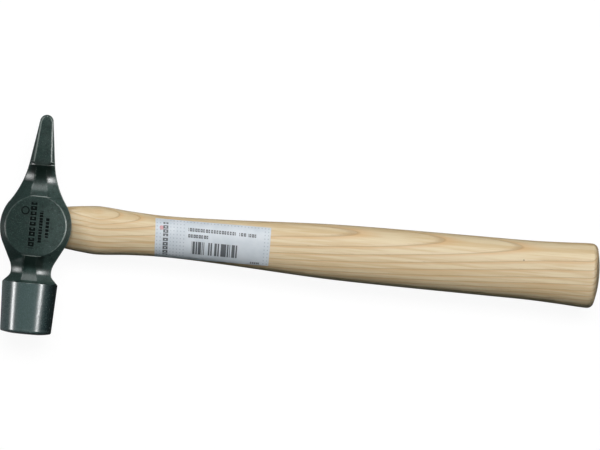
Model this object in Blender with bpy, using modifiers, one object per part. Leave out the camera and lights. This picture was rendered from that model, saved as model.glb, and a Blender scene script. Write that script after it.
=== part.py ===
"""Cross-peen engineer's hammer of about 400 g on an ash handle.

Frame: the origin is the centre of the striking face. +X runs along the handle to its butt, +Y runs
up the head from the striking face to the peen, and +Z is square to the cheeks, so the hammer lies
on its side. Sizes below are in millimetres, and mm() turns them into metres.

The head is a turned blank cut by four prisms through its axis, one across the handle, one across
the cheeks and two at 45 degrees between them. That is how the eight-sided necks, the round cheeks
with their chamfers and the scalloped rim of the round poll all come about.
"""

import math

import bmesh
import bpy
from mathutils import Vector

# Head, measured along +Y from the striking face.
HEAD_LENGTH = 116.7
RIM_Y = 27.2
RIM_RADIUS = 14.7
FACE_RADIUS = 13.55
FACE_CORNER = 1.1
FACE_LAND_RADIUS = 5.0
FACE_CROWN_RADIUS = 33.0
LOWER_NECK_Y = 33.8
BODY_Y = 57.5
EYE_Y = 58.3
TIP_RADIUS = 3.6

# Half-widths of the head: across the handle (X), across the cheeks (Z) and on the diagonals.
BODY_HALF_WIDTH = 18.95
BODY_SIDE_RADIUS = 23.8
CHEEK_HALF_DEPTH = 12.5
CHEEK_RADIUS = 16.1
CHEEK_FLAT_HALF = 3.5
LOWER_NECK_HALF_WIDTH = 10.85
LOWER_NECK_HALF_DEPTH = 10.4
LOWER_NECK_DIAGONAL = 9.65
UPPER_HOLLOW_CENTRE = (96.6, 51.2)
UPPER_HOLLOW_RADIUS = 44.6
UPPER_NECK_HALF_DEPTH = 9.35
UPPER_NECK_DEPTH_Y = 81.7
UPPER_NECK_DIAGONAL = 9.2
UPPER_NECK_DIAGONAL_Y = 83.3
PEEN_FLAT_Y = 90.1
PEEN_SHOULDER_Y = 91.7
PEEN_FLAT_HALF_AT_SHOULDER = 4.25
PEEN_FLAT_HALF_AT_TIP = 2.25

# Radii of the necks' hollows. Those of the lower neck are tighter towards the rim (first) than
# towards the body (second).
LOWER_NECK_WIDTH_RADII = (6.0, 9.0)
LOWER_NECK_DEPTH_RADII = (5.6, 14.0)
LOWER_NECK_DIAGONAL_RADII = (6.2, 13.0)
UPPER_NECK_DEPTH_RADIUS = 11.5
UPPER_NECK_DIAGONAL_RADIUS = 14.0

# Eye: an hourglass hole along X, as (x, half-length in Y, half-width in Z).
EYE_SECTIONS = (
    (-24.0, 11.8, 7.5),
    (-18.9, 11.5, 7.25),
    (2.0, 10.25, 6.15),
    (14.0, 10.75, 6.5),
    (19.0, 11.7, 7.0),
    (24.0, 12.7, 7.6),
)
EYE_SQUARENESS = 2.3
FIT_GAP = 0.3

# Handle from its front end to its butt, as (x, half-height in Y, half-thickness in Z).
HANDLE_STATIONS = (
    (-20.0, 11.2, 6.95),
    (2.0, 9.95, 5.85),
    (13.5, 10.4, 6.15),
    (18.0, 11.1, 6.5),
    (26.0, 12.25, 8.0),
    (34.0, 12.82, 9.2),
    (51.0, 11.55, 9.0),
    (69.0, 10.93, 8.7),
    (100.0, 11.85, 9.3),
    (150.0, 14.4, 11.0),
    (180.0, 15.12, 11.6),
    (240.0, 15.62, 11.9),
    (264.0, 15.8, 12.0),
    (281.0, 16.5, 12.4),
    (293.5, 17.2, 12.8),
    (298.5, 17.2, 12.8),
)
HANDLE_SQUARENESS = 2.25
BUTT_CORNER_START_X = 294.6
BUTT_CORNER_RADIUS = 4.0
BUTT_X = 301.1

# Wedges, driven into the front end of the tenon, and all ground flush with the side of the head.
FLUSH_DEPTH = 0.4
BLANK_END_X = -20.0
KERF_BOTTOM_X = 1.0
KERF_FRONT_HALF = 1.7
KERF_BOTTOM_HALF = 0.75
STEEL_WEDGE_OFFSET_Y = 5.2
STEEL_WEDGE_LENGTH = 15.0
STEEL_WEDGE_WIDTH = 9.0
STEEL_WEDGE_FRONT_HALF = 1.1
STEEL_WEDGE_TIP_HALF = 0.35

# Label, wrapped on the upper side of the handle.
LABEL_START_X = 64.0
LABEL_END_X = 124.8
LABEL_HALF_WIDTH = 9.9
LABEL_GAP = 0.12
LABEL_THICKNESS = 0.2

ARC_STEP = math.radians(9)
CHEEK_STEPS = 22
TURNED_STEPS = 48
SECTION_POINTS = 36

BLANK_REACH = 22.0
PRISM_REACH = 24.0
WEDGE_REACH = 13.0
DIAGONAL = math.sqrt(2)


def mm(*values):
    return Vector([value * 0.001 for value in values])


# Outlines ---------------------------------------------------------------------------------------


def tangent_heading(first, second):
    """Heading of the common tangent of two circles, each (place, distance, signed radius)."""
    along = second[0] - first[0]
    out = second[1] - first[1]
    ratio = (first[2] - second[2]) / math.hypot(along, out)
    return math.atan2(out, along) - math.asin(max(-1.0, min(1.0, ratio)))


def belt(circles, last_heading=0.0):
    """Points of a line that runs over a row of circles and along their common tangents.

    A circle is (place, distance from the axis, radius). The line runs outside a circle of positive
    radius, which makes a hump, and inside one of negative radius, which makes a hollow. Radius 0 is
    a corner.
    """
    headings = [tangent_heading(a, b) for a, b in zip(circles, circles[1:])]
    points = []
    for circle, start, end in zip(circles, headings[:1] + headings, headings + [last_heading]):
        place, distance, radius = circle
        count = math.ceil(abs(end - start) / ARC_STEP) if radius else 0
        for i in range(count + 1):
            heading = start + (end - start) * i / max(count, 1)
            point = (place - radius * math.sin(heading), distance + radius * math.cos(heading))
            if not points or math.dist(point, points[-1]) > 1e-4:
                points.append(point)
    return points


def corner(y, distance):
    return (y, distance, 0.0)


def hump(y, top, radius):
    return (y, top - radius, radius)


def hollow(y, bottom, radius):
    return (y, bottom + radius, -radius)


def past_the_rim(points):
    """The outline carried out past the rim and down beside the poll, which the turned blank bounds."""
    (y0, d0), (y1, d1) = points[:2]
    reach = 1.3 / math.dist(points[0], points[1])
    y, distance = y0 - (y1 - y0) * reach, d0 - (d1 - d0) * reach
    return [(-1.0, distance), (y, distance)] + points


def side_outline():
    """Half-width across the handle: the profile that the hammer shows from its cheek side."""
    rim_radius, body_radius = LOWER_NECK_WIDTH_RADII
    circles = (
        corner(RIM_Y, RIM_RADIUS),
        hollow(LOWER_NECK_Y, LOWER_NECK_HALF_WIDTH, rim_radius),
        hollow(LOWER_NECK_Y, LOWER_NECK_HALF_WIDTH, body_radius),
        hump(BODY_Y, BODY_HALF_WIDTH, BODY_SIDE_RADIUS),
        (*UPPER_HOLLOW_CENTRE, -UPPER_HOLLOW_RADIUS),
        (HEAD_LENGTH - TIP_RADIUS, 0.0, TIP_RADIUS),
    )
    return past_the_rim(belt(circles, last_heading=-math.pi / 2))


def cheek_edge_y(half_width, side):
    """Where the round cheek is this wide, above (side 1) or below (side -1) the body's middle."""
    return BODY_Y + side * math.sqrt(CHEEK_RADIUS**2 - half_width**2)


def depth_outline():
    """Half-depth across the cheeks: two flat cheeks, two hollow necks and a flat-sided peen."""
    rim_radius, body_radius = LOWER_NECK_DEPTH_RADII
    circles = (
        corner(RIM_Y, RIM_RADIUS),
        hollow(LOWER_NECK_Y, LOWER_NECK_HALF_DEPTH, rim_radius),
        hollow(LOWER_NECK_Y, LOWER_NECK_HALF_DEPTH, body_radius),
        corner(cheek_edge_y(CHEEK_FLAT_HALF, -1), CHEEK_HALF_DEPTH),
        corner(cheek_edge_y(CHEEK_FLAT_HALF, 1), CHEEK_HALF_DEPTH),
        hollow(UPPER_NECK_DEPTH_Y, UPPER_NECK_HALF_DEPTH, UPPER_NECK_DEPTH_RADIUS),
        corner(PEEN_FLAT_Y, CHEEK_HALF_DEPTH),
        corner(HEAD_LENGTH + 1.0, CHEEK_HALF_DEPTH),
    )
    return past_the_rim(belt(circles))


def diagonal_distance(flat_half):
    """Distance to a 45 degree face that leaves this half-width of the cheek plane flat."""
    return (CHEEK_HALF_DEPTH + flat_half) / DIAGONAL


def diagonal_outline():
    """Distance to the 45 degree faces, which chamfer each cheek to a circle."""
    rim_radius, body_radius = LOWER_NECK_DIAGONAL_RADII
    neck_corner = diagonal_distance(CHEEK_FLAT_HALF)
    lower = (
        corner(RIM_Y, RIM_RADIUS),
        hollow(LOWER_NECK_Y, LOWER_NECK_DIAGONAL, rim_radius),
        hollow(LOWER_NECK_Y, LOWER_NECK_DIAGONAL, body_radius),
        corner(cheek_edge_y(CHEEK_FLAT_HALF, -1), neck_corner),
    )
    half_turn = math.asin(CHEEK_FLAT_HALF / CHEEK_RADIUS)
    cheek_points = []
    for i in range(1, CHEEK_STEPS):
        angle = half_turn + (math.pi - 2 * half_turn) * i / CHEEK_STEPS
        y = BODY_Y - CHEEK_RADIUS * math.cos(angle)
        cheek_points.append((y, diagonal_distance(CHEEK_RADIUS * math.sin(angle))))
    upper = (
        corner(cheek_edge_y(CHEEK_FLAT_HALF, 1), neck_corner),
        hollow(UPPER_NECK_DIAGONAL_Y, UPPER_NECK_DIAGONAL, UPPER_NECK_DIAGONAL_RADIUS),
        corner(PEEN_SHOULDER_Y, diagonal_distance(PEEN_FLAT_HALF_AT_SHOULDER)),
        corner(HEAD_LENGTH, diagonal_distance(PEEN_FLAT_HALF_AT_TIP)),
    )
    return past_the_rim(belt(lower) + cheek_points + belt(upper))


def turned_outline():
    """Profile (radius, height) of the turned blank, from the axis above the peen to the face."""
    top = HEAD_LENGTH + 3.0
    taper = (RIM_RADIUS - FACE_RADIUS) / (RIM_Y - FACE_CORNER)
    cone_top = RIM_RADIUS + taper * (LOWER_NECK_Y - RIM_Y)
    points = [(0.0, top), (BLANK_REACH, top), (BLANK_REACH, LOWER_NECK_Y), (cone_top, LOWER_NECK_Y)]

    edge = FACE_RADIUS - FACE_CORNER
    crown_rise = FACE_CROWN_RADIUS - math.sqrt(FACE_CROWN_RADIUS**2 - (edge - FACE_LAND_RADIUS) ** 2)
    for degrees in (0, 20, 40, 60, 77):
        angle = math.radians(degrees)
        radius = edge + FACE_CORNER * math.cos(angle)
        points.append((radius, crown_rise + FACE_CORNER * (1 - math.sin(angle))))
    for share in (0.66, 0.33, 0.0):
        reach = (edge - FACE_LAND_RADIUS) * share
        rise = FACE_CROWN_RADIUS - math.sqrt(FACE_CROWN_RADIUS**2 - reach**2)
        points.append((FACE_LAND_RADIUS + reach, rise))
    points.append((0.0, 0.0))
    return points


# Handle surface ---------------------------------------------------------------------------------


def smooth_between(stations, x):
    """Half-height and half-thickness at x, on a smooth curve through the stations."""
    last = len(stations) - 1
    i = max(j for j in range(last) if j == 0 or stations[j][0] <= x)

    def slope(j, axis):
        before, after = stations[max(j - 1, 0)], stations[min(j + 1, last)]
        return (after[axis] - before[axis]) / (after[0] - before[0])

    start, end = stations[i], stations[i + 1]
    length = end[0] - start[0]
    t = (x - start[0]) / length
    sizes = []
    for axis in (1, 2):
        sizes.append(
            start[axis] * (2 * t**3 - 3 * t**2 + 1)
            + slope(i, axis) * length * (t**3 - 2 * t**2 + t)
            + end[axis] * (3 * t**2 - 2 * t**3)
            + slope(i + 1, axis) * length * (t**3 - t**2)
        )
    return sizes


def oval(x, half_y, half_z, squareness):
    """Points of one oval section at x, between an ellipse and a rounded box."""
    points = []
    for i in range(SECTION_POINTS):
        angle = 2 * math.pi * (i + 0.5) / SECTION_POINTS
        cosine, sine = math.cos(angle), math.sin(angle)
        y = math.copysign(abs(cosine) ** (2 / squareness), cosine) * half_y
        z = math.copysign(abs(sine) ** (2 / squareness), sine) * half_z
        points.append(mm(x, y, z))
    return points


def handle_sections():
    """Sections of the handle from the tenon's front end to the domed butt."""
    sections = []
    x = BLANK_END_X
    while x < BUTT_CORNER_START_X - 1.0:
        sections.append((x, *smooth_between(HANDLE_STATIONS, x)))
        x += 2.5 if 13.0 < x < 40.0 else 6.5
    for degrees in (0, 20, 40, 60, 75):
        angle = math.radians(degrees)
        x = BUTT_CORNER_START_X + BUTT_CORNER_RADIUS * math.sin(angle)
        half_y, half_z = smooth_between(HANDLE_STATIONS, x)
        inset = BUTT_CORNER_RADIUS * (1 - math.cos(angle))
        sections.append((x, half_y - inset, half_z - inset))
    edge_x, edge_y, edge_z = sections[-1]
    for share in (0.7, 0.4, 0.12):
        dome_x = BUTT_X - (BUTT_X - edge_x) * share**2
        sections.append((dome_x, edge_y * share, edge_z * share))
    return sections


def handle_top(x, y):
    """Height of the handle's upper side above its middle plane."""
    half_y, half_z = smooth_between(HANDLE_STATIONS, x)
    return half_z * (1 - abs(y / half_y) ** HANDLE_SQUARENESS) ** (1 / HANDLE_SQUARENESS)


def handle_normal(x, y):
    step = 0.05
    slope_x = (handle_top(x + step, y) - handle_top(x - step, y)) / (2 * step)
    slope_y = (handle_top(x, y + step) - handle_top(x, y - step)) / (2 * step)
    return Vector((-slope_x, -slope_y, 1.0)).normalized()


# Blender objects --------------------------------------------------------------------------------


def clear_scene():
    for item in list(bpy.data.objects):
        bpy.data.objects.remove(item, do_unlink=True)


def new_collection(name):
    collection = bpy.data.collections.new(name)
    bpy.context.scene.collection.children.link(collection)
    return collection


def new_material(name, colour, roughness, metallic):
    material = bpy.data.materials.new(name)
    material.use_nodes = True
    shader = material.node_tree.nodes["Principled BSDF"]
    shader.inputs["Base Color"].default_value = (*colour, 1.0)
    shader.inputs["Roughness"].default_value = roughness
    shader.inputs["Metallic"].default_value = metallic
    return material


def new_object(name, mesh, collection, parent):
    item = bpy.data.objects.new(name, mesh)
    item.parent = parent
    collection.objects.link(item)
    return item


def as_cutter(item):
    item.hide_render = True
    item.display_type = "WIRE"
    return item


def finish_part(item, material, smooth_degrees=30):
    item.data.materials.append(material)
    item.data.shade_smooth()
    item.data.set_sharp_from_angle(angle=math.radians(smooth_degrees))


def prism(name, outline, half_depth, collection, parent, tilt=0.0):
    """A flat outline (x, y) given thickness along its local Z, then tilted about Y."""
    curve = bpy.data.curves.new(name, "CURVE")
    curve.dimensions = "2D"
    curve.fill_mode = "BOTH"
    curve.extrude = half_depth * 0.001
    spline = curve.splines.new("POLY")
    spline.points.add(len(outline) - 1)
    spline.use_cyclic_u = True
    for point, (x, y) in zip(spline.points, outline):
        point.co = (*mm(x, y, 0.0), 1.0)
    item = new_object(name + "_curve", curve, collection, parent)
    item.rotation_euler.y = tilt
    return curve_to_mesh(item, name, collection, parent)


def curve_to_mesh(curve_object, name, collection, parent):
    graph = bpy.context.evaluated_depsgraph_get()
    evaluated = curve_object.evaluated_get(graph)
    mesh = bpy.data.meshes.new_from_object(evaluated)
    matrix = curve_object.matrix_world.copy()
    bpy.data.objects.remove(curve_object, do_unlink=True)
    shape = bmesh.new()
    shape.from_mesh(mesh)
    bmesh.ops.remove_doubles(shape, verts=shape.verts, dist=1e-6)
    bmesh.ops.recalc_face_normals(shape, faces=shape.faces)
    shape.to_mesh(mesh)
    shape.free()
    item = new_object(name, mesh, collection, parent)
    item.matrix_world = matrix
    return item


def mirrored(outline):
    """The outline (place, distance) on both sides of the head's axis, as (x, y) points."""
    right = [(distance, place) for place, distance in outline]
    left = [(-x, y) for x, y in reversed(right) if x > 1e-6]
    return right + left


def loft(name, rings, collection, parent):
    """A closed solid through rings of equal point count, with flat ends."""
    shape = bmesh.new()
    rows = [[shape.verts.new(point) for point in ring] for ring in rings]
    for row, following in zip(rows, rows[1:]):
        for i in range(len(row)):
            j = (i + 1) % len(row)
            shape.faces.new((row[i], row[j], following[j], following[i]))
    shape.faces.new(rows[0])
    shape.faces.new(rows[-1])
    bmesh.ops.recalc_face_normals(shape, faces=shape.faces)
    mesh = bpy.data.meshes.new(name)
    shape.to_mesh(mesh)
    shape.free()
    return new_object(name, mesh, collection, parent)


def cut(item, cutter, operation="DIFFERENCE"):
    modifier = item.modifiers.new(f"{operation.lower()}_{cutter.name}", "BOOLEAN")
    modifier.operation = operation
    modifier.solver = "EXACT"
    modifier.object = cutter


# Parts ------------------------------------------------------------------------------------------


def turned_blank(name, collection, parent):
    """The turned blank, its profile drawn round Z and then laid along Y."""
    mesh = bpy.data.meshes.new(name)
    points = turned_outline()
    edges = [(i, i + 1) for i in range(len(points) - 1)]
    mesh.from_pydata([mm(radius, 0.0, height) for radius, height in points], edges, [])
    item = new_object(name, mesh, collection, parent)
    item.rotation_euler.x = -math.pi / 2
    screw = item.modifiers.new("turn", "SCREW")
    screw.axis = "Z"
    screw.steps = TURNED_STEPS
    screw.render_steps = TURNED_STEPS
    screw.use_merge_vertices = True
    screw.merge_threshold = 1e-6
    return item


def hammer_head(parts, cutters, frame, eye_centre):
    head = turned_blank("hammer_head", parts, frame)
    outlines = (
        ("side_prism", side_outline(), 0.0),
        ("cheek_prism", depth_outline(), math.pi / 2),
        ("diagonal_prism", diagonal_outline(), math.pi / 4),
        ("other_diagonal_prism", diagonal_outline(), -math.pi / 4),
    )
    for name, outline, tilt in outlines:
        shape = prism(name, mirrored(outline), PRISM_REACH, cutters, frame, tilt)
        cut(head, as_cutter(shape), "INTERSECT")
    rings = [oval(x, half_y, half_z, EYE_SQUARENESS) for x, half_y, half_z in EYE_SECTIONS]
    cut(head, as_cutter(loft("eye_cutter", rings, cutters, eye_centre)))
    finish_part(head, new_material("dark_forged_steel", (0.045, 0.07, 0.062), 0.42, 0.85))


def wedge_prism(name, collection, parent, front, tip, half_width, offset=0.0, crosswise=False):
    """A tapering wedge whose front and tip are each (x, half-thickness)."""
    outline = (
        (front[0], offset - front[1]),
        (tip[0], offset - tip[1]),
        (tip[0], offset + tip[1]),
        (front[0], offset + front[1]),
    )
    item = prism(name, outline, half_width, collection, parent)
    if crosswise:
        item.rotation_euler.x = math.pi / 2
    return item


def handle(parts, cutters, eye_centre):
    rings = [oval(*section, HANDLE_SQUARENESS) for section in handle_sections()]
    item = loft("handle", rings, parts, eye_centre)
    kerf = wedge_prism(
        "kerf_cutter",
        cutters,
        eye_centre,
        (BLANK_END_X - 1.0, KERF_FRONT_HALF),
        (KERF_BOTTOM_X, KERF_BOTTOM_HALF),
        WEDGE_REACH,
        crosswise=True,
    )
    cut(item, as_cutter(kerf))
    finish_part(item, new_material("ash_wood", (0.56, 0.43, 0.24), 0.55, 0.0))
    return item


def wood_wedge(parts, cutters, eye_centre):
    """The hardwood wedge that fills the kerf, trimmed to the tenon's oval."""
    tip_x = KERF_BOTTOM_X - 2.0
    item = wedge_prism(
        "wood_wedge",
        parts,
        eye_centre,
        (BLANK_END_X, KERF_FRONT_HALF - FIT_GAP),
        (tip_x, KERF_BOTTOM_HALF - 0.5 * FIT_GAP),
        WEDGE_REACH,
        crosswise=True,
    )
    rings = [oval(*section, HANDLE_SQUARENESS) for section in HANDLE_STATIONS[:2]]
    rings = [oval(BLANK_END_X - 2.0, *HANDLE_STATIONS[0][1:], HANDLE_SQUARENESS)] + rings
    cut(item, as_cutter(loft("tenon_trim", rings, cutters, eye_centre)), "INTERSECT")
    finish_part(item, new_material("beech_wood", (0.50, 0.33, 0.18), 0.6, 0.0))
    return item


def steel_wedge(name, side, wooden, parts, cutters, eye_centre, material):
    """A steel wedge driven across the wooden one, and the slot it opens in each wooden piece."""
    offset = side * STEEL_WEDGE_OFFSET_Y
    tip_x = BLANK_END_X + STEEL_WEDGE_LENGTH
    item = wedge_prism(
        name,
        parts,
        eye_centre,
        (BLANK_END_X, STEEL_WEDGE_FRONT_HALF),
        (tip_x, STEEL_WEDGE_TIP_HALF),
        STEEL_WEDGE_WIDTH / 2,
        offset,
    )
    slot = wedge_prism(
        name + "_slot",
        cutters,
        eye_centre,
        (BLANK_END_X - 1.0, STEEL_WEDGE_FRONT_HALF + FIT_GAP),
        (tip_x + FIT_GAP, STEEL_WEDGE_TIP_HALF + FIT_GAP),
        STEEL_WEDGE_WIDTH / 2 + FIT_GAP,
        offset,
    )
    as_cutter(slot)
    for piece in wooden:
        cut(piece, slot)
    finish_part(item, material)
    return item


def flush_cutter(cutters, frame):
    """All that stands in front of the side of the head, set back by the flush depth."""
    centre_x = BODY_SIDE_RADIUS - BODY_HALF_WIDTH
    radius = BODY_SIDE_RADIUS - FLUSH_DEPTH
    outline = [(-30.0, BODY_Y + 15.0), (-30.0, BODY_Y - 15.0)]
    for degrees in range(-39, 40, 3):
        angle = math.radians(degrees)
        outline.append((centre_x - radius * math.cos(angle), BODY_Y + radius * math.sin(angle)))
    return as_cutter(prism("flush_cutter", outline, 12.0, cutters, frame))


def label(parts, eye_centre):
    """A thin sticker that follows the handle's upper side."""
    count_x, count_y = 16, 16
    spread = math.radians(75)
    shape = bmesh.new()
    layers = []
    for lift in (LABEL_GAP, LABEL_GAP + LABEL_THICKNESS):
        rows = []
        for i in range(count_x + 1):
            x = LABEL_START_X + (LABEL_END_X - LABEL_START_X) * i / count_x
            row = []
            for j in range(count_y + 1):
                y = LABEL_HALF_WIDTH * math.sin(spread * (2 * j / count_y - 1)) / math.sin(spread)
                surface = Vector((x, y, handle_top(x, y)))
                row.append(shape.verts.new(mm(*(surface + handle_normal(x, y) * lift))))
            rows.append(row)
        layers.append(rows)
    for rows in layers:
        for row, following in zip(rows, rows[1:]):
            for j in range(count_y):
                shape.faces.new((row[j], row[j + 1], following[j + 1], following[j]))
    lower, upper = (border(rows) for rows in layers)
    for i in range(len(lower)):
        j = (i + 1) % len(lower)
        shape.faces.new((lower[i], lower[j], upper[j], upper[i]))
    bmesh.ops.recalc_face_normals(shape, faces=shape.faces)
    mesh = bpy.data.meshes.new("label")
    shape.to_mesh(mesh)
    shape.free()
    item = new_object("label", mesh, parts, eye_centre)
    finish_part(item, new_material("label_foil", (0.60, 0.66, 0.66), 0.4, 0.0))


def border(rows):
    """The vertices round the edge of a grid, in order."""
    right = [row[-1] for row in rows[1:-1]]
    left = [row[0] for row in reversed(rows[1:-1])]
    return rows[0] + right + rows[-1][::-1] + left


def main():
    clear_scene()
    parts = new_collection("cross_peen_hammer")
    cutters = new_collection("cutters")
    frame = new_object("hammer_frame", None, parts, None)
    eye_centre = new_object("eye_centre", None, parts, frame)
    eye_centre.location = mm(0.0, EYE_Y, 0.0)
    bpy.context.view_layer.update()

    hammer_head(parts, cutters, frame, eye_centre)
    wooden = (handle(parts, cutters, eye_centre), wood_wedge(parts, cutters, eye_centre))
    steel = new_material("wedge_steel", (0.45, 0.45, 0.44), 0.4, 1.0)
    wedges = []
    for name, side in (("steel_wedge_peen_side", 1), ("steel_wedge_face_side", -1)):
        wedges.append(steel_wedge(name, side, wooden, parts, cutters, eye_centre, steel))
    flush = flush_cutter(cutters, frame)
    for piece in (*wooden, *wedges):
        cut(piece, flush)
    label(parts, eye_centre)


main()
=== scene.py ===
import math

import bmesh
import bpy
import numpy as np
from mathutils import Matrix, Vector, noise


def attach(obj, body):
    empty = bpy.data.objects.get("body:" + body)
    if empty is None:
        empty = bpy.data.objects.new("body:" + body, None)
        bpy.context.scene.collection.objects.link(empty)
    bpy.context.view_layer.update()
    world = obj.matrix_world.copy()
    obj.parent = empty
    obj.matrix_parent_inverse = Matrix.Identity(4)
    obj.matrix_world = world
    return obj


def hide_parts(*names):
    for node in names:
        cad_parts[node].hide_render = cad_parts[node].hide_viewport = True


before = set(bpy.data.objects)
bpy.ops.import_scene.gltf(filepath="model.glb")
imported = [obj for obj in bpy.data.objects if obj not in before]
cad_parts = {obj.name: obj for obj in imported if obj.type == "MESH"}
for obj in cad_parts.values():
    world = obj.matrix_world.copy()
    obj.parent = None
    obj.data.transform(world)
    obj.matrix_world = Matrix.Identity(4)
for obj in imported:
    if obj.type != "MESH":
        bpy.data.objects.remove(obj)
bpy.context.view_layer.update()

# The cross-peen hammer's looks. Lengths are in millimetres until a mesh is made, in the frame of the
# CAD: origin on the striking face, +X along the handle, +Y up the head to the peen, +Z square to the
# cheeks. The head, the handle, its wedges and its label are remade here with soft edges and fine
# sections, and stand for the CAD nodes.

# Head outlines, up the head in Y. A hollow is (y, its distance from the axis, radius).
HEAD_LENGTH = 116.7
RIM_Y = 27.2
RIM_RADIUS = 14.7
FACE_RADIUS = 13.55
FACE_CORNER = 1.1
FACE_LAND_RADIUS = 5.0
FACE_CROWN_RADIUS = 33.0
LOWER_NECK_Y = 33.1
LOWER_NECK_HALF_WIDTH = 10.69
LOWER_NECK_WIDTH_RADII = (4.4, 11.7)
UPPER_WIDTH_HOLLOW = (98.55, 6.15, 50.7)
LOWER_DEPTH_HOLLOWS = ((29.8, 10.5, 2.4), (33.2, 9.7, 7.0), (33.2, 9.7, 8.0))
UPPER_DEPTH_HOLLOW = (81.7, 9.35, 11.5)
BODY_Y = 57.5
BODY_HALF_WIDTH = 18.95
BODY_SIDE_RADIUS = 21.9
TIP_RADIUS = 3.6
CHEEK_HALF_DEPTH = 12.5
CHEEK_RADIUS = 16.1
CHEEK_FLAT_HALF = 3.5
CHEEK_SHARE = 0.97  # of the cheek's radius: so far up and down the flat's edge follows its circle
PEEN_FLAT_Y = 90.1
PEEN_CHAMFER = 0.9
LEAN = 0.0145
LEAN_START_Y = 39.0
EDGE_RADIUS = 0.6
EDGE_CUT = 0.45
RIM_SOFTNESS = 0.35
CREASE_SOFTNESS = 0.8
LEAST_HALF_WIDTH = 0.02

# Unevenness of the forging: its height, the (size, seed) of its waves and how far in they lie.
WAVINESS = 0.05
BROAD_WAVES = (11.0, 3.0)
FINE_WAVES = (4.5, 9.0)
WAVES_INWARD = 0.6

# The flats of the necks and the peen: (y, half-width, shift across, slope of the faces beside them).
FACET_STATIONS = (
    (27.2, 4.9, -0.3, 0.45),
    (29.5, 4.0, -0.8, 0.45),
    (32.0, 3.5, -0.9, 0.45),
    (38.0, 3.3, -1.2, 0.45),
    (41.8, 3.2, -1.1, 0.45),
    (73.2, 3.5, 0.0, 0.45),
    (75.0, 4.2, -0.2, 0.45),
    (78.5, 4.1, -0.2, 0.45),
    (81.0, 3.3, 0.0, 0.45),
    (84.0, 2.95, -0.1, 0.45),
    (90.1, 2.95, -0.2, 0.5),
    (91.7, 4.75, 0.0, 1.0),
    (94.5, 4.5, 0.0, 1.0),
    (106.5, 3.5, 0.0, 1.0),
    (116.7, 2.7, 0.0, 1.0),
)
FACET_CURVE = 0.022
FACET_SKEW = 0.2

# Spacing of the head's sections: (from y, to y, step), close where the surface turns quickly.
ROW_BANDS = (
    (1.9, 26.5, 0.7),
    (26.5, 29.8, 0.12),
    (29.8, 41.0, 0.35),
    (41.0, 43.0, 0.12),
    (43.0, 71.5, 0.3),
    (71.5, 74.5, 0.1),
    (74.5, 89.0, 0.35),
    (89.0, 93.0, 0.12),
    (93.0, 113.0, 0.5),
)
TIP_ROWS = 27
SIDE_POINTS = 6
SLANT_STEPS = 13
FLAT_POINTS = 9

# The ground poll is what lies within the margin of its cone, or below the height of its corner.
POLL_MARGIN = 0.16
POLL_CORNER_Y = 2.5

# Eye and handle sections are (x, half-height in Y, half-thickness in Z), about the eye's centre.
EYE_Y = 58.3
EYE_SQUARENESS = 2.3
EYE_SECTIONS = (
    (-24.0, 11.8, 7.5),
    (-18.9, 11.5, 7.25),
    (2.0, 10.25, 6.15),
    (14.0, 10.75, 6.5),
    (19.0, 11.7, 7.0),
    (24.0, 12.7, 7.6),
)
EYE_POINTS = 96
EYE_STRAIGHT_X = 12.0
# The eye's rounded mouth: (depth under the side of the head, flare).
EYE_MOUTH = ((-3.0, 0.8), (-0.04, 0.43), (0.14, 0.18), (0.33, 0.05), (0.6, 0.0), (1.2, 0.0))

HANDLE_SQUARENESS = 2.25
HANDLE_STATIONS = (
    (-20.0, 11.35, 7.1),
    (2.0, 10.1, 6.0),
    (13.5, 10.6, 6.35),
    (18.0, 11.35, 6.75),
    (26.0, 12.3, 8.0),
    (34.0, 12.82, 9.2),
    (51.0, 11.55, 9.0),
    (69.0, 10.93, 8.7),
    (100.0, 11.85, 9.3),
    (150.0, 14.4, 11.0),
    (180.0, 15.12, 11.6),
    (240.0, 15.62, 11.9),
    (264.0, 15.8, 12.0),
    (281.0, 16.5, 12.4),
    (293.5, 17.2, 12.8),
    (298.5, 17.2, 12.8),
)
BUTT_CORNER_START_X = 295.8
BUTT_CORNER_RADIUS = 3.4
BUTT_X = 301.0

# Wedges in the front end of the tenon.
FLUSH_DEPTH = 0.4
FLUSH_HALF_Y = 14.5
FLUSH_HALF_Z = 12.0
FLUSH_START_X = -30.0
BLANK_END_X = -20.0
KERF_BOTTOM_X = 1.0
KERF_HALF = (1.7, 0.75)
KERF_REACH = 13.0
WOOD_WEDGE_HALF = (1.6, 0.6)
STEEL_WEDGE_OFFSET_Y = 5.2
STEEL_WEDGE_LENGTH = 15.0
STEEL_WEDGE_WIDTH = 9.0
STEEL_WEDGE_HALF = (1.1, 0.35)
WEDGE_GAP = 0.08
TRIM_PLACES = (-22.0, -20.0, -9.0, 2.0)
WOOD_EDGE = 0.12
STEEL_EDGE = 0.15

# Label corners are (x, y) from the handle's axis.
LABEL_TOP = ((63.0, 9.1), (124.5, 9.6))
LABEL_BOTTOM = ((64.5, -10.75), (124.8, -10.3))
LABEL_LIFT = 0.1
LABEL_THICKNESS = 0.14
LABEL_COLUMNS = 96
LABEL_ROWS = 40
LABEL_UV_SCALE = 0.01

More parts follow.
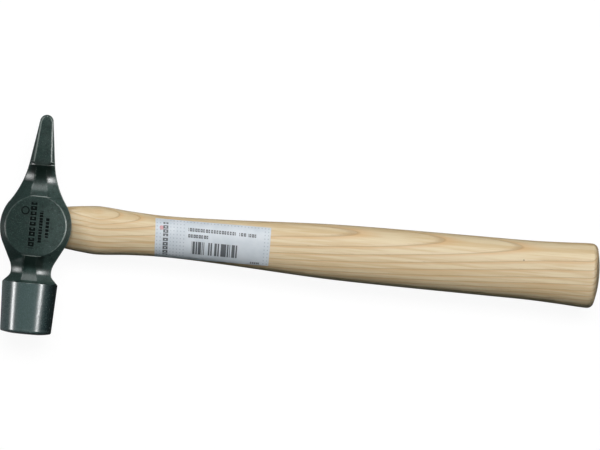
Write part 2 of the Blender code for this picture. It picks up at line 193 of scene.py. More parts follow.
# Plain marks. A line is (start, end, low, high), then the pitch of its blocks, a seed and how far its
# blocks are hollow, if they are. The other marks on the label are boxes (start, end, top, bottom).
CHEEK_LINES = (
    ((45.6, 70.0, -3.1, 0.1), 2.75, 0.3, 0.36),
    ((48.8, 65.8, 1.9, 3.7), 1.5, 5.1),
    ((51.8, 62.2, 5.4, 7.2), 1.9, 9.7),
)
CHEEK_RING = (-5.9, 65.4)
CHEEK_RING_RADII = (1.6, 2.2)
LABEL_LINES = (
    ((17.6, 42.9, 4.5, 6.4), 1.42, 0.2),
    ((44.7, 48.4, 4.7, 6.5), 1.6, 0.9),
    ((49.5, 53.8, 4.8, 6.6), 1.4, 0.4),
    ((17.5, 28.7, 7.9, 9.7), 1.4, 0.7),
    ((51.5, 56.4, 20.0, 21.2), 1.1, 0.3),
)
LABEL_SIDE_LINE = ((2.4, 20.8, 4.2, 6.9), 2.25, 0.5, 0.3)
LABEL_BARS = (19.6, 44.2, 11.6, 18.6)
LABEL_BAR_PITCH = 0.42
LABEL_DOT_FIELDS = (
    (0.6, 3.6, 1.0, 23.0),
    (8.0, 15.8, 1.0, 22.0),
    (57.4, 61.0, 1.0, 23.0),
    (8.0, 61.0, 0.6, 2.4),
)
LABEL_DOT_PITCH = (1.8, 1.95)
LABEL_SPOT = (3.4, 5.6, 0.0)
PRINT_SOFTNESS = 0.06

# The camera looks down on the hammer, whose handle runs down to the right.
FRAME_CENTRE = (139.9, EYE_Y + 12.7)
FRAME_WIDTH = 318.6
ROLL = math.radians(5.27)
SIDE_TILT = math.radians(2.6)
LENS = 400.0
SENSOR = 36.0

FLOOR_Z = -14.75
FLOOR_HALF = 16000.0

# Lights: name, azimuth, elevation, distance in metres, the two sides in metres, radiance, target.
HEAD_TARGET = (0.0, 60.0, 0.0)
MIDDLE_TARGET = (120.0, 60.0, 0.0)
SHEEN_LIGHTS = (
    ("left_box", 188.5, 22.0, 1.3, 0.45, 0.12, 47.0, HEAD_TARGET),
    ("right_box", 4.0, 40.0, 1.3, 0.45, 0.12, 76.0, HEAD_TARGET),
    ("sheen_panel", 95.0, 52.0, 1.4, 1.4, 0.8, 3.0, MIDDLE_TARGET),
)
KEY_LIGHT = ("key_panel", 92.0, 65.0, 1.4, 1.6, 0.6, 7.4, MIDDLE_TARGET)


# Outlines ---------------------------------------------------------------------------------------


def tangent_heading(first, second):
    """Heading of the common tangent of two belt circles."""
    along = second[0] - first[0]
    out = second[1] - first[1]
    ratio = (first[2] - second[2]) / math.hypot(along, out)
    return math.atan2(out, along) - math.asin(max(-1.0, min(1.0, ratio)))


def belt(circles, last_heading, step=math.radians(1.5)):
    """Points of a line that runs over a row of circles and along their common tangents.

    A circle is (y, distance from the axis, radius), whose radius is negative for a hollow.
    """
    headings = [tangent_heading(a, b) for a, b in zip(circles, circles[1:])]
    points = []
    for circle, start, end in zip(circles, headings[:1] + headings, headings + [last_heading]):
        place, distance, radius = circle
        count = math.ceil(abs(end - start) / step) if radius else 0
        for i in range(count + 1):
            heading = start + (end - start) * i / max(count, 1)
            points.append((place - radius * math.sin(heading), distance + radius * math.cos(heading)))
    return np.array(points)


def corner(y, distance):
    return (y, distance, 0.0)


def soft_corner(y, distance):
    return (y, distance - EDGE_RADIUS, EDGE_RADIUS)


def hollow(y, bottom, radius):
    return (y, bottom + radius, -radius)


def at(outline, y):
    return np.interp(y, outline[:, 0], outline[:, 1])


def smooth_min(first, second, softness):
    near = np.maximum(softness - np.abs(first - second), 0.0) / softness
    return np.minimum(first, second) - near**2 * softness / 4


def smooth_max(first, second, softness):
    return -smooth_min(-first, -second, softness)


def side_width(y):
    """Half-width of the head across the handle."""
    outline = belt(
        (
            corner(RIM_Y, RIM_RADIUS),
            *(hollow(LOWER_NECK_Y, LOWER_NECK_HALF_WIDTH, radius) for radius in LOWER_NECK_WIDTH_RADII),
            (BODY_Y, BODY_HALF_WIDTH - BODY_SIDE_RADIUS, BODY_SIDE_RADIUS),
            hollow(*UPPER_WIDTH_HOLLOW),
            (HEAD_LENGTH - TIP_RADIUS, 0.0, TIP_RADIUS),
        ),
        last_heading=-math.pi / 2,
    )
    return at(outline, y)


def cheek_depth(y):
    """Half-depth of the head across the cheeks."""
    edge = math.sqrt(CHEEK_RADIUS**2 - CHEEK_FLAT_HALF**2)
    tip_edge = HEAD_LENGTH - EDGE_RADIUS
    outline = belt(
        (
            corner(RIM_Y, RIM_RADIUS),
            *(hollow(*sizes) for sizes in LOWER_DEPTH_HOLLOWS),
            soft_corner(BODY_Y - edge, CHEEK_HALF_DEPTH),
            soft_corner(BODY_Y + edge, CHEEK_HALF_DEPTH),
            hollow(*UPPER_DEPTH_HOLLOW),
            soft_corner(PEEN_FLAT_Y, CHEEK_HALF_DEPTH),
            (tip_edge, CHEEK_HALF_DEPTH - EDGE_RADIUS, EDGE_RADIUS),
        ),
        last_heading=-math.pi / 2,
    )
    return at(outline, y)


def lean(y):
    """How far the upper head leans towards the handle."""
    return LEAN * np.maximum(y - LEAN_START_Y, 0.0)


def poll_radius(y):
    """Radius of the poll's cone, carried on past its rim."""
    taper = (RIM_RADIUS - FACE_RADIUS) / (RIM_Y - FACE_CORNER)
    return RIM_RADIUS + taper * (y - RIM_Y)


# Head -------------------------------------------------------------------------------------------


def spaced(length, count, support=0.3):
    """Places from 0 to the length, with one close to the end so that the flat shades flat."""
    near_end = length - min(support, 0.15 * length)
    return [near_end * i / (count - 1) for i in range(count)]


def facet(y):
    """Half-width, shift and side slope of the flat at y."""
    stations = np.array(FACET_STATIONS)
    return [np.interp(y, stations[:, 0], stations[:, i]) for i in (1, 2, 3)]


def round_corner(before, tip, after, count=6):
    """Points from before to after, which turn towards the tip without reaching it."""
    points = []
    for i in range(count):
        t = i / (count - 1)
        point = (a * (1 - t) ** 2 + b * 2 * t * (1 - t) + c * t**2 for a, b, c in zip(before, tip, after))
        points.append(tuple(point))
    return points


def quarter_section(width, flat_end, depth, height):
    """Points (x, z) from the side round to the middle of the flat; height(x) is the face between."""
    flat_end = max(min(flat_end, width - LEAST_HALF_WIDTH), LEAST_HALF_WIDTH)
    slant_cut = min(EDGE_CUT, 0.3 * (width - flat_end))
    side_cut = min(EDGE_CUT, 0.5 * height(width))
    flat_cut = min(EDGE_CUT, 0.5 * flat_end)
    side = (width, height(width) - side_cut)
    first = width - slant_cut
    last = flat_end + slant_cut
    quarter = [(width, z) for z in spaced(side[1], SIDE_POINTS)]
    quarter += round_corner(side, (width, height(width)), (first, height(first)))
    for i in range(1, SLANT_STEPS):
        x = first + (last - first) * i / SLANT_STEPS
        quarter.append((x, height(x)))
    quarter += round_corner((last, height(last)), (flat_end, depth), (flat_end - flat_cut, depth))
    quarter += [(x, depth) for x in reversed(spaced(flat_end - flat_cut, FLAT_POINTS))]
    return np.array(quarter)


def head_section(y, width, depth):
    """Points (x, z) round the section at y: an octagon whose slanting faces are curved."""
    half, shift, slope = facet(y)
    beside = abs(y - BODY_Y)
    on_cheek = beside < CHEEK_RADIUS * CHEEK_SHARE
    past_tip = y - (HEAD_LENGTH - TIP_RADIUS)

    def shoulder(x):
        return CHEEK_HALF_DEPTH + CHEEK_RADIUS - math.hypot(x, beside)

    def height(x, flat_end, side):
        if past_tip > 0:
            return min(depth, CHEEK_HALF_DEPTH + TIP_RADIUS - PEEN_CHAMFER - math.hypot(x, past_tip))
        if on_cheek:
            return min(depth, shoulder(x))
        out = x - flat_end
        neck = depth - out * (slope * (1 - FACET_SKEW * side) + FACET_CURVE * out)
        return min(depth, smooth_max(shoulder(x), neck, CREASE_SOFTNESS))

    quarters = []
    for side in (1, -1):
        flat_end = half + side * shift
        if past_tip > 0:
            flat_end = math.sqrt(max((TIP_RADIUS - PEEN_CHAMFER) ** 2 - past_tip**2, 0.0))
            depth = min(depth, height(0.0, 0.0, side))
        elif on_cheek:
            flat_end = math.sqrt(CHEEK_RADIUS**2 - beside**2)
        quarters.append(quarter_section(width, flat_end, depth, lambda x: height(x, flat_end, side)))
    right, left = quarters
    return np.concatenate(
        [
            right[:-1],
            (left[::-1] * (-1, 1))[:-1],
            (left * (-1, -1))[:-1],
            (right[::-1] * (1, -1))[:-1],
        ]
    )


def head_rows():
    """Heights of the sections, up to the round tip."""
    rows = []
    for low, high, step in ROW_BANDS:
        rows.append(np.linspace(low, high, math.ceil((high - low) / step), endpoint=False))
    for i in range(TIP_ROWS):
        rows.append([HEAD_LENGTH - TIP_RADIUS * (1 - math.sin(math.pi / 2 * i / TIP_ROWS))])
    return np.concatenate(rows)


def face_rings():
    """(y, radius) of the striking face, from its middle out to its rounded corner."""
    edge = FACE_RADIUS - FACE_CORNER
    rings = [(0.0, radius) for radius in (0.6, 2.0, 3.5, FACE_LAND_RADIUS)]
    for i in range(1, 10):
        reach = (edge - FACE_LAND_RADIUS) * i / 9
        rise = FACE_CROWN_RADIUS - math.sqrt(FACE_CROWN_RADIUS**2 - reach**2)
        rings.append((rise, FACE_LAND_RADIUS + reach))
    for i in range(1, 9):
        angle = math.radians(13 + 77 * i / 8)
        rings.append((rise + FACE_CORNER * (1 - math.cos(angle)), edge + FACE_CORNER * math.sin(angle)))
    return rings


def closed_mesh(name, rings):
    """A closed mesh through rings of equal point count, given in millimetres."""
    rings = np.array(rings) * 0.001
    count = rings.shape[1]
    faces = []
    for i in range(len(rings) - 1):
        for j in range(count):
            k = (j + 1) % count
            faces.append((i * count + j, (i + 1) * count + j, (i + 1) * count + k, i * count + k))
    last = (len(rings) - 1) * count
    faces.append(tuple(range(count)))
    faces.append(tuple(range(last + count - 1, last - 1, -1)))
    mesh = bpy.data.meshes.new(name)
    mesh.from_pydata(rings.reshape(-1, 3).tolist(), [], faces)
    shape = bmesh.new()
    shape.from_mesh(mesh)
    bmesh.ops.recalc_face_normals(shape, faces=shape.faces)
    shape.to_mesh(mesh)
    shape.free()
    mesh.update()
    return mesh


def new_object(name, mesh):
    item = bpy.data.objects.new(name, mesh)
    bpy.context.scene.collection.objects.link(item)
    return item


def waves(points, size, seed):
    """Slow unevenness of a forged surface, from about -1 to 1."""
    return np.array([noise.noise(Vector(point) / size + Vector((seed, 0, 0))) for point in points])


def level_ring(points, y):
    """Points (x, z) as a ring at the height y."""
    return np.column_stack([points[:, 0], np.full(len(points), y), points[:, 1]])


def head_mesh():
    """Octagonal sections up the head, which the poll's cone rounds off below the neck."""
    octagon = head_section(RIM_Y, RIM_RADIUS, RIM_RADIUS)
    directions = octagon / np.linalg.norm(octagon, axis=1)[:, None]
    rings = [level_ring(directions * radius, y) for y, radius in face_rings()]
    rows = head_rows()
    for y, width, depth, radius in zip(rows, side_width(rows), cheek_depth(rows), poll_radius(rows)):
        section = head_section(max(y, RIM_Y), max(width, 0.03), depth)
        section *= 1 + 1.2 * max(RIM_Y - y, 0.0) / RIM_RADIUS
        if y < LOWER_NECK_Y:
            distance = np.linalg.norm(section, axis=1)
            section *= (smooth_min(distance, radius, RIM_SOFTNESS) / distance)[:, None]
        rings.append(level_ring(section + (lean(y), 0.0), y))
    return closed_mesh("forged_head", rings)


def apply_modifiers(item):
    graph = bpy.context.evaluated_depsgraph_get()
    mesh = bpy.data.meshes.new_from_object(item.evaluated_get(graph))
    item.modifiers.clear()
    item.data = mesh


def cut(item, cutter, operation="DIFFERENCE"):
    modifier = item.modifiers.new(cutter.name, "BOOLEAN")
    modifier.operation = operation
    modifier.solver = "EXACT"
    modifier.object = cutter
    apply_modifiers(item)


def remove(item):
    bpy.data.objects.remove(item, do_unlink=True)


def shade_smooth(item, sharp_degrees=35):
    item.data.shade_smooth()
    item.data.set_sharp_from_angle(angle=math.radians(sharp_degrees))


def eye_size(x):
    stations = np.array(EYE_SECTIONS)
    return np.interp(x, stations[:, 0], stations[:, 1]), np.interp(x, stations[:, 0], stations[:, 2])


def oval(half_y, half_z, squareness, count):
    """Points (y, z) of an oval between an ellipse and a rounded box."""
    angles = 2 * np.pi * (np.arange(count) + 0.5) / count
    cosine, sine = np.cos(angles), np.sin(angles)
    y = np.copysign(np.abs(cosine) ** (2 / squareness), cosine) * half_y
    z = np.copysign(np.abs(sine) ** (2 / squareness), sine) * half_z
    return y, z


def eye_cutter():
    """An hourglass hole whose two mouths are rounded where they meet the curved sides."""
    rings = []

    def add_mouth(side, steps):
        for depth, flare in steps:
            half_y, half_z = eye_size(side * (BODY_HALF_WIDTH - depth))
            y, z = oval(half_y + flare, half_z + flare, EYE_SQUARENESS, EYE_POINTS)
            x = side * (side_width(y + EYE_Y) - depth) + lean(y + EYE_Y)
            rings.append(np.column_stack([x, y + EYE_Y, z]))

    add_mouth(-1, EYE_MOUTH)
    for x in np.linspace(-EYE_STRAIGHT_X, EYE_STRAIGHT_X, 13):
        half_y, half_z = eye_size(x)
        y, z = oval(half_y, half_z, EYE_SQUARENESS, EYE_POINTS)
        rings.append(np.column_stack([np.full(EYE_POINTS, x), y + EYE_Y, z]))
    add_mouth(1, reversed(EYE_MOUTH))
    return new_object("eye_cutter", closed_mesh("eye_cutter", rings))


def edge_wear(mesh):
    """Stores how sharply each point's surface turns outward, in turns per millimetre."""
    points = np.zeros(len(mesh.vertices) * 3, np.float32)
    mesh.vertices.foreach_get("co", points)
    points = points.reshape(-1, 3) * 1000
    normals = np.zeros(len(mesh.vertices) * 3, np.float32)
    mesh.vertex_normals.foreach_get("vector", normals)
    normals = normals.reshape(-1, 3)
    edges = np.zeros(len(mesh.edges) * 2, np.int32)
    mesh.edges.foreach_get("vertices", edges)
    first, second = edges.reshape(-1, 2).T
    along = points[second] - points[first]
    turn = ((normals[second] - normals[first]) * along).sum(1) / np.maximum((along**2).sum(1), 1e-4)
    most = np.zeros(len(points), np.float32)
    np.maximum.at(most, first, turn)
    np.maximum.at(most, second, turn)
    attribute = mesh.attributes.new("edge_wear", "FLOAT", "POINT")
    attribute.data.foreach_set("value", most)


def poll_mask(mesh):
    """Stores where the surface belongs to the round poll, which is ground after forging."""
    points = np.array([vertex.co for vertex in mesh.vertices]) * 1000
    radius = np.hypot(points[:, 0], points[:, 2])
    on_cone = radius > poll_radius(points[:, 1]) - POLL_MARGIN
    on_corner = points[:, 1] < POLL_CORNER_Y
    value = np.where((points[:, 1] < LOWER_NECK_Y) & (on_cone | on_corner), 1.0, 0.0)
    attribute = mesh.attributes.new("poll", "FLOAT", "POINT")
    attribute.data.foreach_set("value", value.astype(np.float32))


def roughen(mesh):
    """Moves the forged surface in and out a little, the ground poll less and the tip not at all."""
    points = np.array([vertex.co for vertex in mesh.vertices]) * 1000
    normals = np.array([vertex.normal for vertex in mesh.vertices])
    from_poll = np.clip((points[:, 1] - RIM_Y) / 8.0, 0.25, 1.0)
    to_tip = np.clip((HEAD_LENGTH - points[:, 1]) / 4.0, 0.0, 1.0)
    fade = from_poll * to_tip
    height = waves(points, *BROAD_WAVES) + 0.5 * waves(points, *FINE_WAVES) - WAVES_INWARD
    amount = height * WAVINESS * fade
    points += normals * amount[:, None]
    mesh.vertices.foreach_set("co", (points * 0.001).astype(np.float32).ravel())
    mesh.update()


def make_head():
    head = new_object("forged_head", head_mesh())
    roughen(head.data)
    cutter = eye_cutter()
    cut(head, cutter)
    remove(cutter)
    shade_smooth(head)
    edge_wear(head.data)
    poll_mask(head.data)
    head.data.materials.clear()
    head.data.materials.append(forged_steel())
    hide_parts("hammer_head")
    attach(head, "root")


# Handle -----------------------------------------------------------------------------------------


def handle_size(x):
    """Half-height and half-thickness at x, on a smooth curve through the stations."""
    stations = np.array(HANDLE_STATIONS)
    last = len(stations) - 1
    i = int(np.clip(np.searchsorted(stations[:, 0], x, side="right") - 1, 0, last - 1))

    def slope(j):
        before, after = stations[max(j - 1, 0)], stations[min(j + 1, last)]
        return (after[1:] - before[1:]) / (after[0] - before[0])

    length = stations[i + 1, 0] - stations[i, 0]
    t = (x - stations[i, 0]) / length
    return (
        stations[i, 1:] * (2 * t**3 - 3 * t**2 + 1)
        + slope(i) * length * (t**3 - 2 * t**2 + t)
        + stations[i + 1, 1:] * (3 * t**2 - 2 * t**3)
        + slope(i + 1) * length * (t**3 - t**2)
    )


def handle_ring(x, half_y, half_z, count=128):
    y, z = oval(half_y, half_z, HANDLE_SQUARENESS, count)
    return np.column_stack([np.full(count, x), y + EYE_Y, z])


def handle_mesh():
    places = np.concatenate(
        [
            np.arange(BLANK_END_X, 14.0, 2.0),
            np.arange(14.0, 46.0, 0.6),
            np.arange(46.0, BUTT_CORNER_START_X - 1.0, 1.8),
        ]
    )
    rings = [handle_ring(x, *handle_size(x)) for x in places]
    for degrees in range(0, 79, 6):
        angle = math.radians(degrees)
        x = BUTT_CORNER_START_X + BUTT_CORNER_RADIUS * math.sin(angle)
        inset = BUTT_CORNER_RADIUS * (1 - math.cos(angle))
        rings.append(handle_ring(x, *(handle_size(x) - inset)))
    edge_x, edge = x, handle_size(x) - inset
    for share in np.linspace(0.92, 0.08, 12):
        rings.append(handle_ring(BUTT_X - (BUTT_X - edge_x) * share**2, *(edge * share)))
    return closed_mesh("ash_handle", rings)


def wedge_block(name, front, tip, halves, width, offset=0.0, crosswise=False):
    """A tapering block from the front end to its tip; its thin direction is Y, or Z if crosswise."""
    corners = []
    for x, half in ((front, halves[0]), (tip, halves[1])):
        for thin, wide in ((-half, -width), (half, -width), (half, width), (-half, width)):
            y, z = (wide, thin) if crosswise else (thin, wide)
            corners.append((x, y + offset + EYE_Y, z))
    return new_object(name, closed_mesh(name, [corners[:4], corners[4:]]))


def flush_cutter():
    """All that stands in front of the side of the head, set back a little."""
    ys = np.linspace(BODY_Y - FLUSH_HALF_Y, BODY_Y + FLUSH_HALF_Y, 40)
    centre_x = BODY_SIDE_RADIUS - BODY_HALF_WIDTH
    radius = BODY_SIDE_RADIUS - FLUSH_DEPTH
    rings = []
    for y in ys:
        x = centre_x - math.sqrt(radius**2 - (y - BODY_Y) ** 2) + lean(y)
        corners = ((FLUSH_START_X, -1), (x, -1), (x, 1), (FLUSH_START_X, 1))
        rings.append([(end, y, side * FLUSH_HALF_Z) for end, side in corners])
    return new_object("flush_cutter", closed_mesh("flush_cutter", rings))


def make_handle_and_wedges():
    handle = new_object("ash_handle", handle_mesh())
    kerf = wedge_block("kerf", BLANK_END_X - 1, KERF_BOTTOM_X, KERF_HALF, KERF_REACH, crosswise=True)
    cut(handle, kerf)
    remove(kerf)

    wedge_tip = KERF_BOTTOM_X - 2
    wedge = wedge_block("beech_wedge", BLANK_END_X, wedge_tip, WOOD_WEDGE_HALF, KERF_REACH, crosswise=True)
    trim_rings = [handle_ring(x, *handle_size(max(x, BLANK_END_X))) for x in TRIM_PLACES]
    trim = new_object("trim", closed_mesh("trim", trim_rings))
    cut(wedge, trim, "INTERSECT")
    remove(trim)

    flush = flush_cutter()
    tip = BLANK_END_X + STEEL_WEDGE_LENGTH
    half_width = STEEL_WEDGE_WIDTH / 2
    wedges = []
    for name, side in (("steel_wedge_peen_side", 1), ("steel_wedge_face_side", -1)):
        offset = side * STEEL_WEDGE_OFFSET_Y
        slot_halves = tuple(half + WEDGE_GAP for half in STEEL_WEDGE_HALF)
        slot = wedge_block("slot", BLANK_END_X - 1, tip + 0.2, slot_halves, half_width + WEDGE_GAP, offset)
        cut(handle, slot)
        cut(wedge, slot)
        remove(slot)
        steel = wedge_block(name + "_finish", BLANK_END_X, tip, STEEL_WEDGE_HALF, half_width, offset)
        cut(steel, flush)
        soften(steel, STEEL_EDGE)
        shade_smooth(steel)
        steel.data.materials.append(wedge_steel())
        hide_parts(name)
        wedges.append(steel)
    cut(handle, flush)
    cut(wedge, flush)
    remove(flush)
    soften(wedge, WOOD_EDGE)
    for item, material, node, slot in (
        (handle, ash(), "handle", "ash"),
        (wedge, beech(), "wood_wedge", "wedge_wood"),
    ):
        shade_smooth(item)
        item.data.materials.clear()
        item.data.materials.append(material)
        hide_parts(node)
    for item in (handle, wedge, *wedges):
        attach(item, "root")


def soften(item, width):
    bevel = item.modifiers.new("soft_edges", "BEVEL")
    bevel.width = width * 0.001
    bevel.segments = 3
    bevel.limit_method = "ANGLE"
    bevel.angle_limit = math.radians(40)
    apply_modifiers(item)


# Label ------------------------------------------------------------------------------------------


def label_point(s, t, lift):
    """A point of the label: s runs along the handle, t from its top edge round to its bottom edge."""
    top = np.array(LABEL_TOP[0]) * (1 - s) + np.array(LABEL_TOP[1]) * s
    bottom = np.array(LABEL_BOTTOM[0]) * (1 - s) + np.array(LABEL_BOTTOM[1]) * s
    x = top[0] * (1 - t) + bottom[0] * t
    half_y, half_z = handle_size(x)

    def angle_at(y):
        return math.asin(math.copysign(abs(y / half_y) ** (HANDLE_SQUARENESS / 2), y))

    angle = angle_at(top[1]) * (1 - t) + angle_at(bottom[1]) * t
    power = 2 / HANDLE_SQUARENESS
    y = math.copysign(abs(math.sin(angle)) ** power, angle) * (half_y + lift)
    return np.array((x, y + EYE_Y, math.cos(angle) ** power * (half_z + lift)))


def label_layer(lift):
    """A grid of points, lifted off the handle."""
    grid = []
    for i in range(LABEL_COLUMNS + 1):
        grid.append([label_point(i / LABEL_COLUMNS, j / LABEL_ROWS, lift) for j in range(LABEL_ROWS + 1)])
    return grid


def make_label():
    """A thin curved sheet, with a flat map of its millimetres for the print."""
    layers = [label_layer(lift) for lift in (LABEL_LIFT, LABEL_LIFT + LABEL_THICKNESS)]
    shape = bmesh.new()
    sheet = shape.loops.layers.uv.new("sheet")
    grids = [[[shape.verts.new(point * 0.001) for point in row] for row in grid] for grid in layers]
    top = np.array(layers[1])
    across = np.linalg.norm(np.diff(top, axis=1), axis=2).cumsum(axis=1)
    across = np.concatenate([np.zeros((LABEL_COLUMNS + 1, 1)), across], axis=1)
    length = LABEL_TOP[1][0] - LABEL_TOP[0][0]
    place = {}
    for grid in grids:
        for i, row in enumerate(grid):
            for j, vertex in enumerate(row):
                along = length * i / LABEL_COLUMNS
                place[vertex] = (along * LABEL_UV_SCALE, across[i, j] * LABEL_UV_SCALE)
    for grid, flip in zip(grids, (True, False)):
        for i in range(LABEL_COLUMNS):
            for j in range(LABEL_ROWS):
                corners = (grid[i][j], grid[i][j + 1], grid[i + 1][j + 1], grid[i + 1][j])
                shape.faces.new(corners[::-1] if flip else corners)
    lower, upper = (border(grid) for grid in grids)
    for i in range(len(lower)):
        j = (i + 1) % len(lower)
        shape.faces.new((lower[i], lower[j], upper[j], upper[i]))
    bmesh.ops.recalc_face_normals(shape, faces=shape.faces)
    for face in shape.faces:
        for loop in face.loops:
            loop[sheet].uv = place[loop.vert]
    mesh = bpy.data.meshes.new("paper_label")
    shape.to_mesh(mesh)
    shape.free()
    label = new_object("paper_label", mesh)
    shade_smooth(label)
    mesh.materials.append(printed_paper())
    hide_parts("label")
    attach(label, "root")


def border(grid):
    """The vertices round the edge of a grid, in order."""
    right = [row[-1] for row in grid[1:-1]]
    left = [row[0] for row in reversed(grid[1:-1])]
    return grid[0] + right + grid[-1][::-1] + left


# Materials --------------------------------------------------------------------------------------


def srgb(red, green, blue):
    """A colour given in 8-bit screen values, as linear light."""
    return tuple(((value / 255 + 0.055) / 1.055) ** 2.4 for value in (red, green, blue))


class Shade:
    """A node tree with short calls, each of which adds one node and returns its output."""

    def __init__(self, tree):
        self.tree = tree

    def feed(self, socket, value):
        if isinstance(value, bpy.types.NodeSocket):
            self.tree.links.new(value, socket)
        elif socket.type == "RGBA":
            socket.default_value = (*value, 1.0)
        else:
            socket.default_value = value

    def add(self, kind, inputs, **settings):
        node = self.tree.nodes.new("ShaderNode" + kind)
        for key, value in settings.items():
            setattr(node, key, value)
        for key, value in inputs.items():
            self.feed(node.inputs[key], value)
        return node

    def math(self, operation, first, second=0.0, third=0.0):
        return self.add("Math", {0: first, 1: second, 2: third}, operation=operation).outputs[0]

    def vector(self, operation, first, second=(0.0, 0.0, 0.0)):
        return self.add("VectorMath", {0: first, 1: second}, operation=operation)

    def ramp(self, value, low, high):
        """Rises smoothly from 0 at low to 1 at high, or falls if low is the greater."""
        inputs = {"Value": value, "From Min": low, "From Max": high}
        return self.add("MapRange", inputs, interpolation_type="SMOOTHSTEP").outputs[0]

    def spread(self, value, low, high):
        """Carries 0..1 on to low..high."""
        return self.add("MapRange", {"Value": value, "To Min": low, "To Max": high}).outputs[0]

    def mix(self, factor, first, second):
        return self.add("Mix", {0: factor, 6: first, 7: second}, data_type="RGBA").outputs[2]

    def tint(self, mask, share, first, second):
        """The first colour, tinted with a share of the second where the mask is 1."""
        return self.mix(self.math("MULTIPLY", mask, share), first, second)

    def chance(self, number):
        """A random value from 0 to 1 for each whole number."""
        return self.add("TexWhiteNoise", {"W": number}, noise_dimensions="1D").outputs["Value"]

    def noise(self, place, scale, detail=3.0, roughness=0.55):
        inputs = {"Vector": place, "Scale": scale, "Detail": detail, "Roughness": roughness}
        return self.add("TexNoise", inputs).outputs[0]

    def stretched(self, place, x, y, z):
        return self.vector("MULTIPLY", place, (x, y, z)).outputs[0]

    def millimetres(self):
        """The point being shaded, in millimetres in the frame of the CAD."""
        coordinates = self.add("TexCoord", {}).outputs["Object"]
        return self.vector("MULTIPLY", coordinates, (1000.0, 1000.0, 1000.0)).outputs[0]

    def parts(self, vector):
        return self.add("SeparateXYZ", {0: vector}).outputs

    def attribute(self, name):
        return self.add("Attribute", {}, attribute_name=name).outputs["Fac"]

    def between(self, value, low, high, softness):
        """1 between low and high, 0 outside them."""
        rise = self.ramp(value, low - softness, low + softness)
        fall = self.ramp(value, high + softness, high - softness)
        return self.math("MULTIPLY", rise, fall)

    def bump(self, height, distance, strength=1.0, under=None):
        """Distance is in millimetres."""
        inputs = {"Height": height, "Distance": distance * 0.001, "Strength": strength}
        if under is not None:
            inputs["Normal"] = under
        return self.add("Bump", inputs).outputs[0]


def new_material(name):
    material = bpy.data.materials.new(name)
    material.use_nodes = True
    return material, Shade(material.node_tree)


def set_surface(material, shade, **inputs):
    """Feeds the material's surface, whose sockets are named here in lower case."""
    surface = material.node_tree.nodes["Principled BSDF"]
    sockets = {socket.name.lower().replace(" ", "_"): socket for socket in surface.inputs}
    for key, value in inputs.items():
        shade.feed(sockets[key], value)
    return material


def block_line(shade, along, across, line, pitch, seed, hollow_share=0.0):
    """Plain blocks in a row that stand for lettering, some of them hollowed out in the middle."""
    start, end, low, high = line
    length = shade.between(along, start, end, PRINT_SOFTNESS)
    band = shade.between(across, low, high, PRINT_SOFTNESS)
    cell = shade.math("DIVIDE", shade.math("ADD", along, seed), pitch)
    place = shade.math("FRACT", cell)
    far_edge = shade.spread(shade.chance(shade.math("FLOOR", cell)), 0.7, 0.95)
    after = shade.math("GREATER_THAN", place, 0.07)
    block = shade.math("MULTIPLY", after, shade.math("LESS_THAN", place, far_edge))
    if hollow_share:
        middle = 0.5 * (low + high)
        half = 0.5 * hollow_share * (high - low)
        gap = shade.between(across, middle - half, middle + half, 0.04)
        gap = shade.math("MULTIPLY", gap, shade.between(place, 0.36, 0.62, 0.04))
        block = shade.math("MULTIPLY", block, shade.math("SUBTRACT", 1.0, gap))
    return shade.math("MULTIPLY", shade.math("MULTIPLY", length, band), block)


def stamped_marks(shade, x, y):
    """Three columns of plain blocks and a ring on the cheek, where makers put their marks."""
    dx = shade.math("SUBTRACT", x, CHEEK_RING[0])
    dy = shade.math("SUBTRACT", y, CHEEK_RING[1])
    away = shade.math("ADD", shade.math("POWER", dx, 2.0), shade.math("POWER", dy, 2.0))
    marks = shade.between(shade.math("SQRT", away), *CHEEK_RING_RADII, 0.1)
    for line in CHEEK_LINES:
        marks = shade.math("MAXIMUM", marks, block_line(shade, y, x, *line))
    return marks


